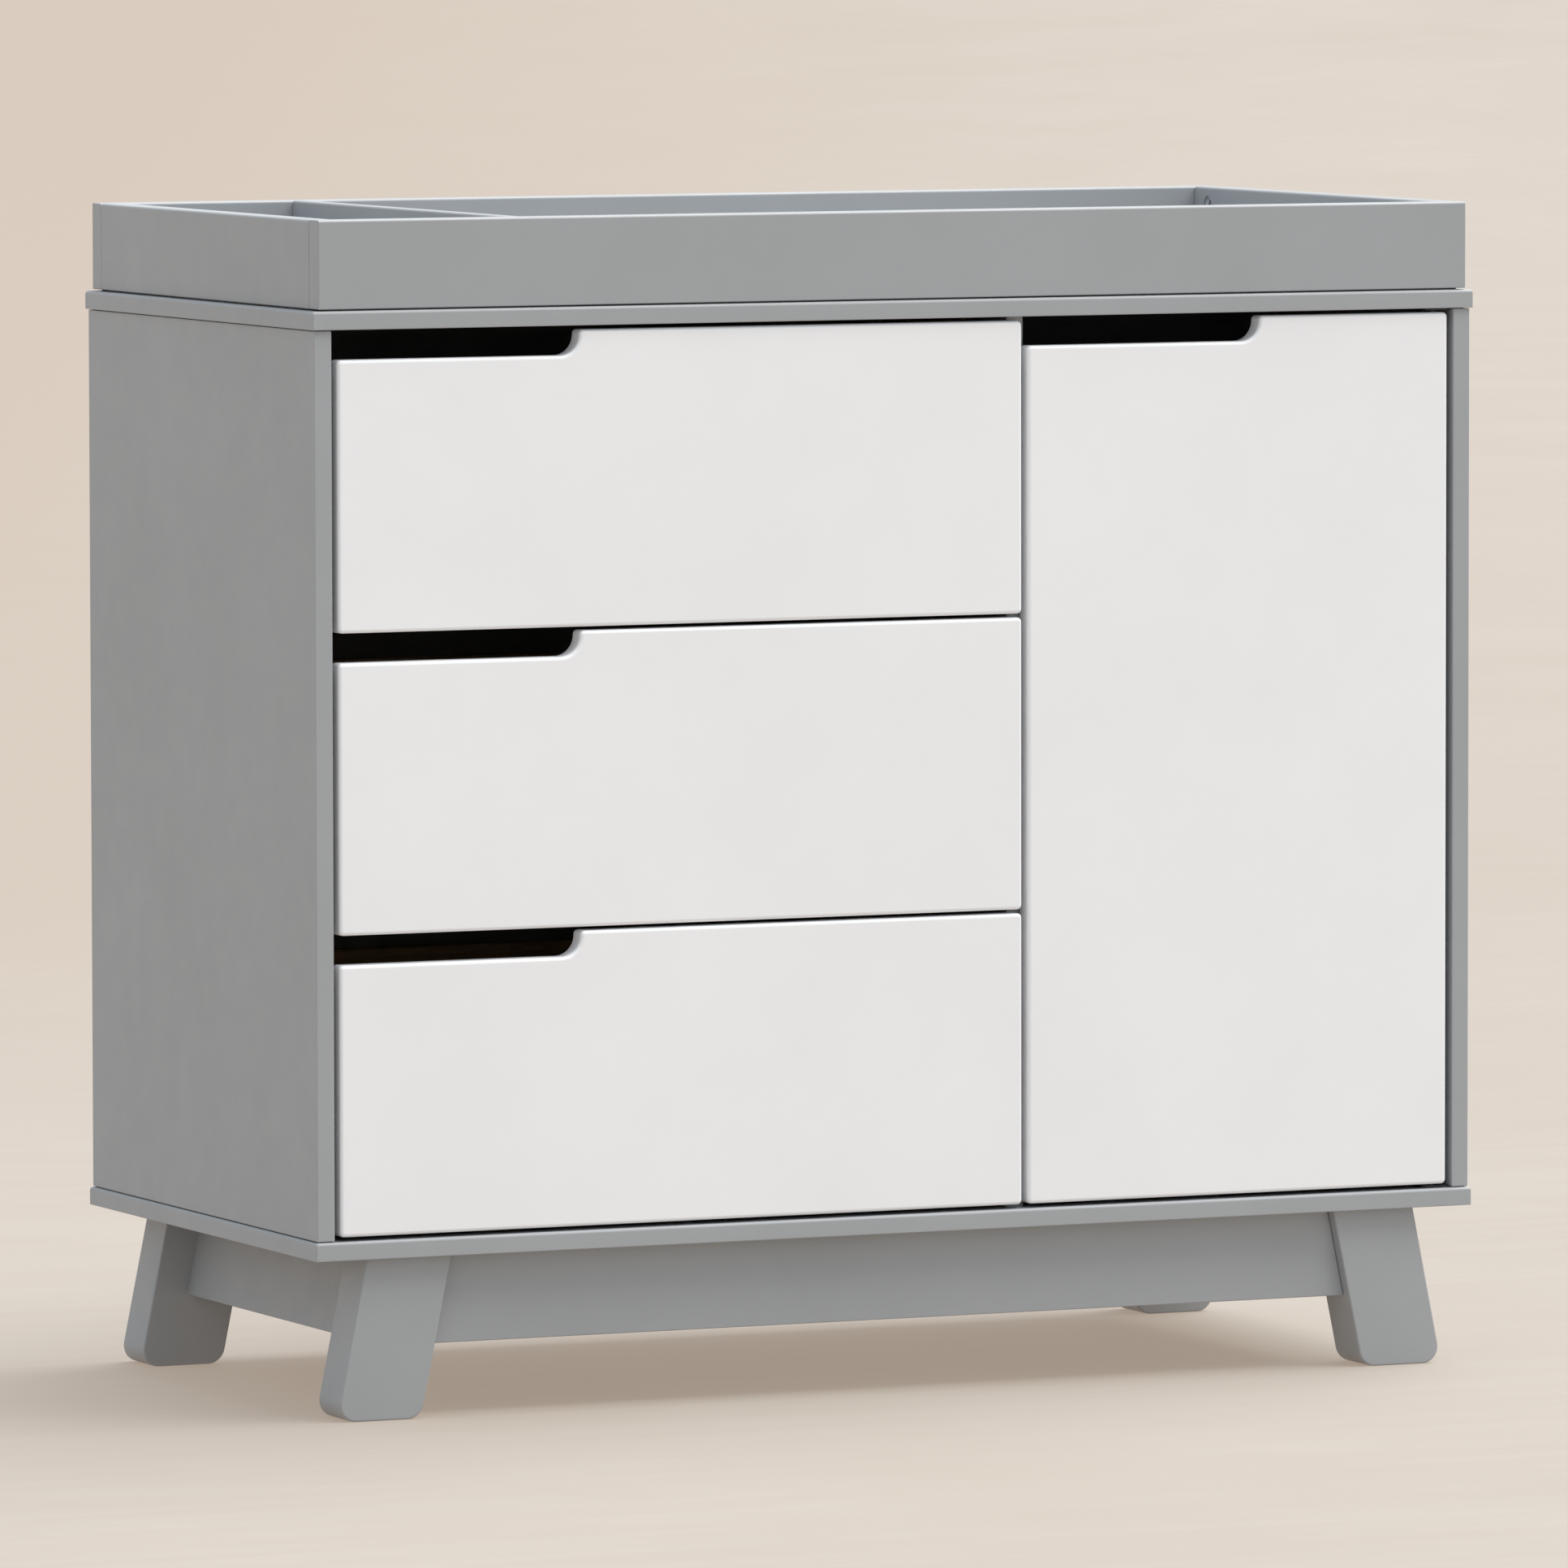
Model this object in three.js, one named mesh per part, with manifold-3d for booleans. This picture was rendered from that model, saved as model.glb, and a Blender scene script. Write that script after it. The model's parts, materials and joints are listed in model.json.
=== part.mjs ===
// Dresser-style changing table: a case on splayed legs with three drawers, a cupboard with one
// hinged door, and a lift-off changing tray on top. Millimetres, +Z up. The origin is on the
// floor under the middle of the table; the fronts face -Y and the drawers are on the -X side.
import * as THREE from 'three';
import { mergeVertices } from 'three/addons/utils/BufferGeometryUtils.js';
import Module from 'manifold-3d';

const wasm = await Module();
wasm.setup();

// Overall sizes
const tableWidth = 1000; // both slabs, end to end
const tableDepth = 476; // both slabs, front to back
const standHeight = 127; // floor to the underside of the bottom slab
const caseHeight = 704; // clear height between the two slabs
const trayHeight = 70;

// Case boards
const slabThickness = 14.5;
const slabEase = 2; // rounding along the slab edges
const slabOverSides = 2; // slabs past the side panels, each end
const slabOverFront = 2.5; // slabs past the panels and the fronts, front and back
const panelThickness = 14.5;
const panelEase = 0.8;
const backThickness = 5;
const backSetIn = 8.5; // back panel in from the rear edge of the side panels
const grooveDepth = 6; // grooves that hold the back panel and the drawer bottoms
const groovePlay = 0.5; // slack of a thin panel in its groove

// Fronts
const frontThickness = 18;
const frontEase = 3;
const frontCornerRadius = 3.5;
const frontSideGap = 5; // fronts to the side panels
const frontTopGap = 3.3; // fronts to the slabs above and below
const frontRowGap = 3; // one drawer front to the next
const frontMiddleGap = 5; // drawer fronts to the door
const doorWidth = 370;
const handCutLength = 203; // hand cut-out along the top edge of each front
const handCutDepth = 20;
const handCutRadius = 16;
const panelBehindFronts = 2; // centre panel stands back from the fronts

// Drawer boxes and runners
const drawerRows = 3;
const boxRearGap = 29.5; // drawer box to the back panel
const boxBelowCut = 26; // top of the box below the floor of the hand cut-out
const boxRise = 20; // box above the lower edge of its front
const boxBoard = 12;
const glueLine = 0.05; // each end of the drawer back, to the sides
const boxBottomThickness = 4;
const boxBottomRise = 10; // drawer bottom above the lower edge of the box
const runnerSpace = 13; // room for one runner beside the box
const runnerHeight = 45;
const runnerSetBack = 5; // runner behind the front, and short of the box end
const runnerSheet = 1.2;
const runnerChannelDepth = 9.5;
const runnerLip = 4.5;
const slideHeight = 32; // moving member, inside the channel
const slideReach = 9; // moving member from the drawer side towards the case

// Door hardware
const pivotInFromEdge = 9.5; // hinge axis from the door's right-hand edge
const pivotPinRadius = 3;
const pivotPinPlay = 0.3;
const pivotPinReach = 12; // pin inside the door
const pivotPlateThickness = 2;
const pivotPlateLength = 34;
const pivotPlateSetBack = 5; // plate behind the front plane
const pivotPlateSide = 9; // plate past the hinge axis
const pivotHoleSpare = 1; // hole deeper than the pin
const catchWidth = 14;
const catchDepth = 12;
const catchHeight = 40;
const catchBelowCutOut = 30;
const strikeThickness = 1.5;
const strikeGap = 0.3;

// Cupboard shelf
const shelfThickness = 15;
const shelfSetBack = 16; // shelf behind the back of the door
const shelfRearGap = 2;
const shelfSideGap = 1;
const shelfRise = 345; // top of the bottom slab to the underside of the shelf
const pinRadius = 2.5;
const pinHoleRadius = 2.7;
const pinHoleDepth = 9;
const pinShortOfHole = 0.5;
const pinRowSpacing = 64;
const pinRowsEachWay = 2; // spare holes above and below the shelf
const pinFromShelfEnd = 60;
const pinTongueWidth = 12;
const pinTongueReach = 9;
const pinTongueThickness = 2;
const pinCollarThickness = 0.8;
const pinCollarHeight = 9;

// Legs and aprons
const legSplay = Math.tan(THREE.MathUtils.degToRad(11.6)); // sideways run for each unit of height
const legWidth = 71; // level width of a leg
const legThickness = 44;
const legSetInSide = 47; // top outer corner in from the slab's end
const legSetInFront = 11;
const legToeRadius = 14;
const legEase = 1.5;
const apronThickness = 18;
const apronHeight = 70;
const apronBehindLeg = 10; // front and back aprons behind the leg faces
const sideApronSetIn = 29; // side aprons behind the legs' outer edges
const apronEase = 1;
const joint = 0.3; // glue gap on slanted joints

// Changing tray
const trayBoard = 19;
const trayEase = 2.2;
const traySetInSide = 5.8; // tray ends in from the slab's ends
const traySetInFront = 2.3;
const smallBayWidth = 146; // clear width of the small compartment
const trayDivider = 12;
const camRadius = 7.5;
const camPocketPlay = 0.3;
const camPocketDepth = 13;
const camRecess = 1;
const camFromEnd = 25; // cam centre from the end of the side board
const camBelowTop = 15;

// Levels and planes worked out from the sizes above
const halfWidth = tableWidth / 2;
const halfDepth = tableDepth / 2;
const caseFloor = standHeight + slabThickness;
const caseCeiling = caseFloor + caseHeight;
const deckLevel = caseCeiling + slabThickness;
const panelFace = halfWidth - slabOverSides - panelThickness; // inner face of a side panel
const frontPlane = -halfDepth + slabOverFront;
const rearPlane = halfDepth - slabOverFront;
const frontBack = frontPlane + frontThickness;
const backPanelFace = rearPlane - backSetIn - backThickness;
const drawerFrontLeft = -panelFace + frontSideGap;
const doorRight = panelFace - frontSideGap;
const doorLeft = doorRight - doorWidth;
const drawerFrontRight = doorLeft - frontMiddleGap;
const centreLeft = (doorLeft + drawerFrontRight - panelThickness) / 2;
const centreRight = centreLeft + panelThickness;
const frontsHeight = caseHeight - 2 * frontTopGap;
const drawerFrontHeight = (frontsHeight - (drawerRows - 1) * frontRowGap) / drawerRows;
const boxLeft = -panelFace + runnerSpace;
const boxRight = centreLeft - runnerSpace;
const boxDepth = backPanelFace - boxRearGap - frontBack;
const boxHeight = drawerFrontHeight - handCutDepth - boxBelowCut - boxRise;
const runnerLength = boxDepth - 2 * runnerSetBack;
const runnerFront = frontBack + runnerSetBack;
const shelfUnderside = caseFloor + shelfRise;
const shelfFront = frontBack + shelfSetBack;
const shelfDepth = backPanelFace - shelfRearGap - shelfFront;
const trayHalfWidth = halfWidth - traySetInSide;
const trayHalfDepth = halfDepth - traySetInFront;
const trayInnerX = trayHalfWidth - trayBoard;
const trayInnerY = trayHalfDepth - trayBoard;
const pivotX = doorRight - pivotInFromEdge;
const pivotY = frontPlane + frontThickness / 2;
const doorBottom = caseFloor + frontTopGap;
const doorTop = doorBottom + frontsHeight;

function finish(color, roughness, metalness = 0) {
  return () => new THREE.MeshStandardMaterial({ color, roughness, metalness });
}

const greyPaint = finish(0x989a9c, 0.55);
const whitePaint = finish(0xe6e6e5, 0.5);
const paleWood = finish(0xd9bf98, 0.65);
const zincSteel = finish(0xb9bcbe, 0.3, 1);
const blackSteel = finish(0x242527, 0.5, 0.6);
const darkPlastic = finish(0x3a3b3d, 0.6);

const table = new THREE.Group();

function place(name, geometry, material, x = 0, y = 0, z = 0) {
  const mesh = new THREE.Mesh(geometry, material());
  mesh.name = name;
  mesh.position.set(x, y, z);
  table.add(mesh);
}

// A closed outline through its corners, given anticlockwise; a third number rounds a corner
function outline(corners) {
  const shape = new THREE.Shape();
  const count = corners.length;
  corners.forEach(([x, y, radius = 0], index) => {
    if (radius === 0) {
      if (index === 0) shape.moveTo(x, y);
      else shape.lineTo(x, y);
      return;
    }
    const corner = new THREE.Vector2(x, y);
    const back = new THREE.Vector2(...corners[(index + count - 1) % count]).sub(corner).normalize();
    const ahead = new THREE.Vector2(...corners[(index + 1) % count]).sub(corner).normalize();
    const halfAngle = Math.acos(back.dot(ahead)) / 2;
    const start = corner.clone().addScaledVector(back, radius / Math.tan(halfAngle));
    const end = corner.clone().addScaledVector(ahead, radius / Math.tan(halfAngle));
    const middle = back.clone().add(ahead).normalize();
    const centre = corner.clone().addScaledVector(middle, radius / Math.sin(halfAngle));
    const startAngle = start.sub(centre).angle();
    const endAngle = end.sub(centre).angle();
    const turnsRight = back.cross(ahead) > 0;
    shape.absarc(centre.x, centre.y, radius, startAngle, endAngle, turnsRight);
  });
  shape.closePath();
  return shape;
}

// The same corners seen in a mirror, still anticlockwise
function mirrored(corners) {
  return corners.map(([x, y, radius]) => [-x, y, radius]).reverse();
}

// On the left, corners stay as they are; on the right they are mirrored
function handed(corners, onRight) {
  return outline(onRight ? mirrored(corners) : corners);
}

function extrude(shape, length, ease, curveSegments) {
  const geometry = new THREE.ExtrudeGeometry(shape, {
    depth: length - 2 * ease,
    curveSegments,
    bevelEnabled: ease > 0,
    bevelThickness: ease,
    bevelSize: ease,
    bevelOffset: -ease,
    bevelSegments: 2,
  });
  return geometry.translate(0, 0, ease);
}

// Shape in X and Y, running up from z = 0
function upright(shape, height, ease = 0, curveSegments = 1) {
  return extrude(shape, height, ease, curveSegments);
}

// Shape in X and Z, running back from y = 0
function running(shape, length, ease = 0, curveSegments = 1) {
  const geometry = extrude(shape, length, ease, curveSegments);
  return geometry.rotateX(Math.PI / 2).translate(0, length, 0);
}

// A rectangular board with its lowest corner at the origin; ease rounds its top and bottom edges
function board(width, depth, height, ease = 0) {
  if (ease > 0) {
    return upright(outline([[0, 0], [width, 0], [width, depth], [0, depth]]), height, ease);
  }
  return new THREE.BoxGeometry(width, depth, height).translate(width / 2, depth / 2, height / 2);
}

// A round bar centred on its middle, along 'x' or 'z'
function bar(radius, length, along, sides = 24) {
  const geometry = new THREE.CylinderGeometry(radius, radius, length, sides);
  return along === 'x' ? geometry.rotateZ(Math.PI / 2) : geometry.rotateX(Math.PI / 2);
}

function toSolid(geometry) {
  const bare = geometry.clone();
  bare.deleteAttribute('normal');
  bare.deleteAttribute('uv');
  const merged = mergeVertices(bare, 1e-4);
  return new wasm.Manifold(new wasm.Mesh({
    numProp: 3,
    vertProperties: new Float32Array(merged.attributes.position.array),
    triVerts: new Uint32Array(merged.index.array),
  }));
}

function fromSolid(solid) {
  const mesh = solid.getMesh();
  const geometry = new THREE.BufferGeometry();
  geometry.setAttribute('position', new THREE.BufferAttribute(mesh.vertProperties, 3));
  geometry.setIndex(new THREE.BufferAttribute(mesh.triVerts, 1));
  geometry.computeVertexNormals();
  return geometry;
}

function cutAway(geometry, cutters) {
  return fromSolid(cutters.reduce((rest, cutter) => rest.subtract(toSolid(cutter)), toSolid(geometry)));
}

function joinUp(geometry, others) {
  return fromSolid(others.reduce((whole, other) => whole.add(toSolid(other)), toSolid(geometry)));
}

// ---- Case

function addSlab(name, level, grooveLevel) {
  const slab = board(tableWidth, tableDepth, slabThickness, slabEase);
  const groove = board(2 * (panelFace + grooveDepth), backThickness + groovePlay, grooveDepth);
  groove.translate(halfWidth - panelFace - grooveDepth, backPanelFace + halfDepth, grooveLevel);
  place(name, cutAway(slab, [groove]), greyPaint, -halfWidth, -halfDepth, level);
}

// Centre lines of the shelf pins, front and back, and their level
const pinPlacesY = [shelfFront + pinFromShelfEnd, shelfFront + shelfDepth - pinFromShelfEnd];
const pinLevel = shelfUnderside - pinTongueThickness / 2;

// Shelf pin holes in a case panel, placed where the panel stands
function pinHoles(face) {
  const holes = [];
  for (const y of pinPlacesY) {
    for (let row = -pinRowsEachWay; row <= pinRowsEachWay; row += 1) {
      const hole = bar(pinHoleRadius, 2 * pinHoleDepth, 'x', 12);
      holes.push(hole.translate(face, y, pinLevel + row * pinRowSpacing));
    }
  }
  return holes;
}

// Side panel in plan, outer face at x = 0, with the groove for the back panel
function sidePanel(onRight) {
  const depth = rearPlane - frontPlane;
  const grooveFront = backPanelFace - frontPlane;
  const grooveRear = grooveFront + backThickness + groovePlay;
  const grooveFloor = panelThickness - grooveDepth;
  const plan = [
    [0, 0, panelEase], [panelThickness, 0, panelEase],
    [panelThickness, grooveFront], [grooveFloor, grooveFront],
    [grooveFloor, grooveRear], [panelThickness, grooveRear],
    [panelThickness, depth, panelEase], [0, depth, panelEase],
  ];
  const outerFace = (halfWidth - slabOverSides) * (onRight ? 1 : -1);
  return upright(handed(plan, onRight), caseHeight).translate(outerFace, frontPlane, caseFloor);
}

function addCase() {
  addSlab('top_slab', caseCeiling, 0);
  addSlab('bottom_slab', standHeight, slabThickness - grooveDepth);
  place('left_side_panel', sidePanel(false), greyPaint);
  place('right_side_panel', cutAway(sidePanel(true), pinHoles(panelFace)), greyPaint);

  const centreFront = frontBack + panelBehindFronts;
  const centre = board(panelThickness, backPanelFace - centreFront, caseHeight);
  centre.translate(centreLeft, centreFront, caseFloor);
  place('centre_panel', cutAway(centre, pinHoles(centreRight)), paleWood);

  const backWidth = 2 * (panelFace + grooveDepth - groovePlay);
  const backHeight = caseHeight + 2 * grooveDepth - groovePlay;
  const back = board(backWidth, backThickness, backHeight);
  place('back_panel', back, greyPaint, -backWidth / 2, backPanelFace, caseFloor - grooveDepth);
}

// ---- Legs and aprons

// Outer edge of a left-hand leg at a level
function legEdge(level) {
  return -halfWidth + legSetInSide - legSplay * (standHeight - level);
}

function addLegs() {
  const frontLegs = -halfDepth + legSetInFront;
  const backLegs = halfDepth - legSetInFront - legThickness;
  const corners = [
    [legEdge(0), 0, legToeRadius], [legEdge(0) + legWidth, 0, legToeRadius],
    [legEdge(standHeight) + legWidth, standHeight], [legEdge(standHeight), standHeight],
  ];
  for (const [side, onRight] of [['left', false], ['right', true]]) {
    for (const [end, y] of [['front', frontLegs], ['back', backLegs]]) {
      const leg = running(handed(corners, onRight), legThickness, legEase, 3);
      place(`leg_${end}_${side}`, leg, greyPaint, 0, y, 0);
    }
  }
}

function addAprons() {
  const low = standHeight - apronHeight;
  const endLow = legEdge(low) + legWidth + joint;
  const endHigh = legEdge(standHeight) + legWidth + joint;
  const long = outline([[endLow, low], [-endLow, low], [-endHigh, standHeight], [endHigh, standHeight]]);
  const frontFace = -halfDepth + legSetInFront + apronBehindLeg;
  place('apron_front', running(long, apronThickness, apronEase), greyPaint, 0, frontFace, 0);
  const backFace = -frontFace - apronThickness;
  place('apron_back', running(long, apronThickness, apronEase), greyPaint, 0, backFace, 0);

  const faceLow = legEdge(low) + sideApronSetIn;
  const faceHigh = legEdge(standHeight) + sideApronSetIn;
  const section = [
    [faceLow, low, apronEase], [faceLow + apronThickness, low, apronEase],
    [faceHigh + apronThickness, standHeight], [faceHigh, standHeight],
  ];
  const sideStart = -halfDepth + legSetInFront + legThickness;
  for (const [side, onRight] of [['left', false], ['right', true]]) {
    const apron = running(handed(section, onRight), -2 * sideStart);
    place(`apron_${side}`, apron, greyPaint, 0, sideStart, 0);
  }
}

// ---- Drawers

// Front with the hand cut-out in its top left corner
function frontBoard(width, height) {
  const cutFloor = height - handCutDepth;
  const face = outline([
    [0, 0, frontCornerRadius], [width, 0, frontCornerRadius], [width, height, frontCornerRadius],
    [handCutLength, height, frontCornerRadius], [handCutLength, cutFloor, handCutRadius],
    [0, cutFloor, frontCornerRadius],
  ]);
  return running(face, frontThickness, frontEase, 3);
}

// Side of a drawer box in section, outer face at x = 0, with the groove for the bottom
function boxSide(onRight) {
  const grooveTop = boxBottomRise + boxBottomThickness + groovePlay;
  const section = [
    [0, 0], [boxBoard, 0],
    [boxBoard, boxBottomRise], [boxBoard - grooveDepth, boxBottomRise],
    [boxBoard - grooveDepth, grooveTop], [boxBoard, grooveTop],
    [boxBoard, boxHeight], [0, boxHeight],
  ];
  return running(handed(section, onRight), boxDepth);
}

// Channel fixed to the case, wall face at x = 0, level at its middle
function channelSection() {
  const half = runnerHeight / 2;
  const inner = half - runnerSheet;
  const mouth = runnerChannelDepth - runnerSheet;
  return [
    [0, -half], [runnerChannelDepth, -half], [runnerChannelDepth, -half + runnerLip],
    [mouth, -half + runnerLip], [mouth, -inner], [runnerSheet, -inner],
    [runnerSheet, inner], [mouth, inner], [mouth, half - runnerLip],
    [runnerChannelDepth, half - runnerLip], [runnerChannelDepth, half], [0, half],
  ];
}

// Member fixed to the drawer, which slides inside the channel
function slideSection() {
  const half = slideHeight / 2;
  const inner = half - runnerSheet;
  const tip = runnerSpace - slideReach;
  const web = runnerSpace - runnerSheet;
  return [
    [runnerSpace, -half], [runnerSpace, half], [tip, half], [tip, inner],
    [web, inner], [web, -inner], [tip, -inner], [tip, -half],
  ];
}

function addRunners(row, boxLevel) {
  const level = boxLevel + boxHeight / 2;
  for (const [side, onRight] of [['left', false], ['right', true]]) {
    const wall = onRight ? centreLeft : -panelFace;
    const channel = running(handed(channelSection(), onRight), runnerLength);
    place(`runner_channel_${row}_${side}`, channel, zincSteel, wall, runnerFront, level);
    const slide = running(handed(slideSection(), onRight), runnerLength);
    place(`runner_slide_${row}_${side}`, slide, zincSteel, wall, runnerFront, level);
  }
}

function addDrawer(row) {
  const pitch = drawerFrontHeight + frontRowGap;
  const frontLevel = caseCeiling - frontTopGap + frontRowGap - row * pitch;
  const boxLevel = frontLevel + boxRise;
  const bottomLevel = boxLevel + boxBottomRise;
  const bottomTop = bottomLevel + boxBottomThickness;

  const width = drawerFrontRight - drawerFrontLeft;
  const front = frontBoard(width, drawerFrontHeight).translate(drawerFrontLeft, frontPlane, frontLevel);
  const grooveLeft = boxLeft + boxBoard - grooveDepth;
  const grooveRight = boxRight - boxBoard + grooveDepth;
  const groove = board(grooveRight - grooveLeft, 2 * grooveDepth, boxBottomThickness + groovePlay);
  groove.translate(grooveLeft, frontBack - grooveDepth, bottomLevel);
  place(`drawer_${row}_front`, cutAway(front, [groove]), whitePaint);

  place(`drawer_${row}_left_side`, boxSide(false), paleWood, boxLeft, frontBack, boxLevel);
  place(`drawer_${row}_right_side`, boxSide(true), paleWood, boxRight, frontBack, boxLevel);

  const rearLeft = boxLeft + boxBoard + glueLine;
  const rearWidth = boxRight - boxBoard - glueLine - rearLeft;
  const rear = board(rearWidth, boxBoard, boxLevel + boxHeight - bottomTop);
  const rearY = frontBack + boxDepth - boxBoard;
  place(`drawer_${row}_back`, rear, paleWood, rearLeft, rearY, bottomTop);

  const bottomWidth = grooveRight - grooveLeft - 2 * groovePlay;
  const bottomDepth = boxDepth + grooveDepth - groovePlay;
  const bottom = board(bottomWidth, bottomDepth, boxBottomThickness);
  const bottomY = frontBack - grooveDepth + groovePlay;
  place(`drawer_${row}_bottom`, bottom, paleWood, grooveLeft + groovePlay, bottomY, bottomLevel);

  addRunners(row, boxLevel);
}

// ---- Cupboard

function addDoor() {
  const door = frontBoard(doorWidth, frontsHeight).translate(doorLeft, frontPlane, doorBottom);
  const holeRadius = pivotPinRadius + pivotPinPlay;
  const holeReach = 2 * (pivotPinReach + pivotHoleSpare);
  const holes = [doorTop, doorBottom].map(
    (end) => bar(holeRadius, holeReach, 'z').translate(pivotX, pivotY, end),
  );
  place('door', cutAway(door, holes), whitePaint);
}

// Hinge plate screwed to a slab, with the pin that the door turns on
function addPivot(name, slabFace, direction) {
  const left = pivotX - pivotPlateSide;
  const plate = board(panelFace - left, pivotPlateLength, pivotPlateThickness);
  const plateLevel = direction > 0 ? slabFace : slabFace - pivotPlateThickness;
  plate.translate(left, frontPlane + pivotPlateSetBack, plateLevel);
  const pinStart = slabFace + (direction * pivotPlateThickness) / 2;
  const pinEnd = slabFace + direction * (frontTopGap + pivotPinReach);
  const pin = bar(pivotPinRadius, Math.abs(pinEnd - pinStart), 'z');
  pin.translate(pivotX, pivotY, (pinStart + pinEnd) / 2);
  place(name, joinUp(plate, [pin]), blackSteel);
}

function addCatch() {
  const top = doorTop - handCutDepth - catchBelowCutOut;
  const strike = board(catchWidth, strikeThickness, catchHeight);
  place('catch_strike', strike, zincSteel, centreRight, frontBack, top - catchHeight);
  const bodyFront = frontBack + strikeThickness + strikeGap;
  const body = board(catchWidth, catchDepth, catchHeight);
  place('door_catch', body, darkPlastic, centreRight, bodyFront, top - catchHeight);
}

// Pin with a plug in the panel, a thin collar and a tongue under the shelf
function shelfPin(onRight) {
  const plugLength = pinHoleDepth - pinShortOfHole + pinCollarThickness;
  const plug = bar(pinRadius, plugLength, 'x', 12);
  plug.translate(pinCollarThickness - plugLength / 2, 0, 0);
  const collar = board(pinCollarThickness, pinTongueWidth, pinCollarHeight);
  collar.translate(0, -pinTongueWidth / 2, -pinCollarHeight / 2);
  const tongue = board(pinTongueReach, pinTongueWidth, pinTongueThickness);
  tongue.translate(0, -pinTongueWidth / 2, -pinTongueThickness / 2);
  const pin = joinUp(plug, [collar, tongue]);
  return onRight ? pin.rotateZ(Math.PI) : pin;
}

function addShelf() {
  const width = panelFace - centreRight - 2 * shelfSideGap;
  const shelf = board(width, shelfDepth, shelfThickness);
  place('cupboard_shelf', shelf, paleWood, centreRight + shelfSideGap, shelfFront, shelfUnderside);
  for (const [side, onRight] of [['left', false], ['right', true]]) {
    for (const [end, y] of [['front', pinPlacesY[0]], ['back', pinPlacesY[1]]]) {
      const face = onRight ? panelFace : centreRight;
      place(`shelf_pin_${end}_${side}`, shelfPin(onRight), zincSteel, face, y, pinLevel);
    }
  }
}

// ---- Changing tray

function addTray() {
  const long = board(2 * trayHalfWidth, trayBoard, trayHeight, trayEase);
  place('tray_front', long, greyPaint, -trayHalfWidth, -trayHalfDepth, deckLevel);
  place('tray_back', long.clone(), greyPaint, -trayHalfWidth, trayInnerY, deckLevel);

  const camLevel = deckLevel + trayHeight - camBelowTop;
  const camLength = camPocketDepth - camRecess;
  for (const [side, direction] of [['left', -1], ['right', 1]]) {
    const innerFace = direction * trayInnerX;
    const outerLeft = Math.min(innerFace, direction * trayHalfWidth);
    const end = board(trayBoard, 2 * trayInnerY, trayHeight, trayEase);
    end.translate(outerLeft, -trayInnerY, deckLevel);
    const camPlaces = [['front', camFromEnd - trayInnerY], ['back', trayInnerY - camFromEnd]];
    const pockets = camPlaces.map(([, y]) => (
      bar(camRadius + camPocketPlay, 2 * camPocketDepth, 'x').translate(innerFace, y, camLevel)
    ));
    place(`tray_${side}`, cutAway(end, pockets), greyPaint);
    const camMiddle = innerFace + direction * (camRecess + camLength / 2);
    for (const [camEnd, y] of camPlaces) {
      place(`tray_cam_${camEnd}_${side}`, bar(camRadius, camLength, 'x'), zincSteel, camMiddle, y, camLevel);
    }
  }

  const divider = board(trayDivider, 2 * trayInnerY, trayHeight, trayEase);
  place('tray_divider', divider, greyPaint, smallBayWidth - trayInnerX, -trayInnerY, deckLevel);
}

addCase();
addLegs();
addAprons();
for (let row = 1; row <= drawerRows; row += 1) addDrawer(row);
addDoor();
addPivot('door_pivot_top', caseCeiling, -1);
addPivot('door_pivot_bottom', caseFloor, 1);
addCatch();
addShelf();
addTray();

export default table;
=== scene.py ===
import json
import math
import bmesh
import bpy
from mathutils import Euler, Matrix, Vector

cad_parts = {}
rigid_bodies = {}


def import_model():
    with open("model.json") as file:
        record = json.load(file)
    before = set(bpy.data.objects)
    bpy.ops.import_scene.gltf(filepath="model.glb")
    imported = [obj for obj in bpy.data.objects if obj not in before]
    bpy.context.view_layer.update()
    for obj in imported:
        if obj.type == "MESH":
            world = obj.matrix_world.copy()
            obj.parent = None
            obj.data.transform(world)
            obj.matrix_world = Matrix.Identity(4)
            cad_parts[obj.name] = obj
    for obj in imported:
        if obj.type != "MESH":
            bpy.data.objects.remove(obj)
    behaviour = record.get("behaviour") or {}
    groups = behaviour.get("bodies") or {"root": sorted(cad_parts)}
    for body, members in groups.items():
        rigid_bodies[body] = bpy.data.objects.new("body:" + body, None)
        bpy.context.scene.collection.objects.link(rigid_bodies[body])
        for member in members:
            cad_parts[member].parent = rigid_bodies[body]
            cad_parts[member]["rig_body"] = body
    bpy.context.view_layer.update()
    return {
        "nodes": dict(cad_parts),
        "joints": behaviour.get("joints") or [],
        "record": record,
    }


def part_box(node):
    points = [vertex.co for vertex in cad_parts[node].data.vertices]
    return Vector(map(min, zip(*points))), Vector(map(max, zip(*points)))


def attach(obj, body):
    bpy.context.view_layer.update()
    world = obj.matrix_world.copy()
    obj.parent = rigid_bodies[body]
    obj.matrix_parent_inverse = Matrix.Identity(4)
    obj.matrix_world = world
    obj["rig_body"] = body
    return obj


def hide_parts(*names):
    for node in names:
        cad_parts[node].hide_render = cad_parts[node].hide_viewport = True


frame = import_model()
scene = bpy.context.scene
slotOf = {row["node"]: row["material_slot"] for row in frame["record"]["subparts"]}
bodyOf = {name: node["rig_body"] for name, node in frame["nodes"].items()}
mm = 0.001
nearly = 0.01 * mm  # places closer than this count as one
ends = ("front", "back")
sides = ("left", "right")
rows = (1, 2, 3)
inward = {"left": 1, "right": -1}  # way along x to the middle of the table
print("frame loaded:", len(bodyOf), "nodes")


# ---- camera, light and floor

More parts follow.
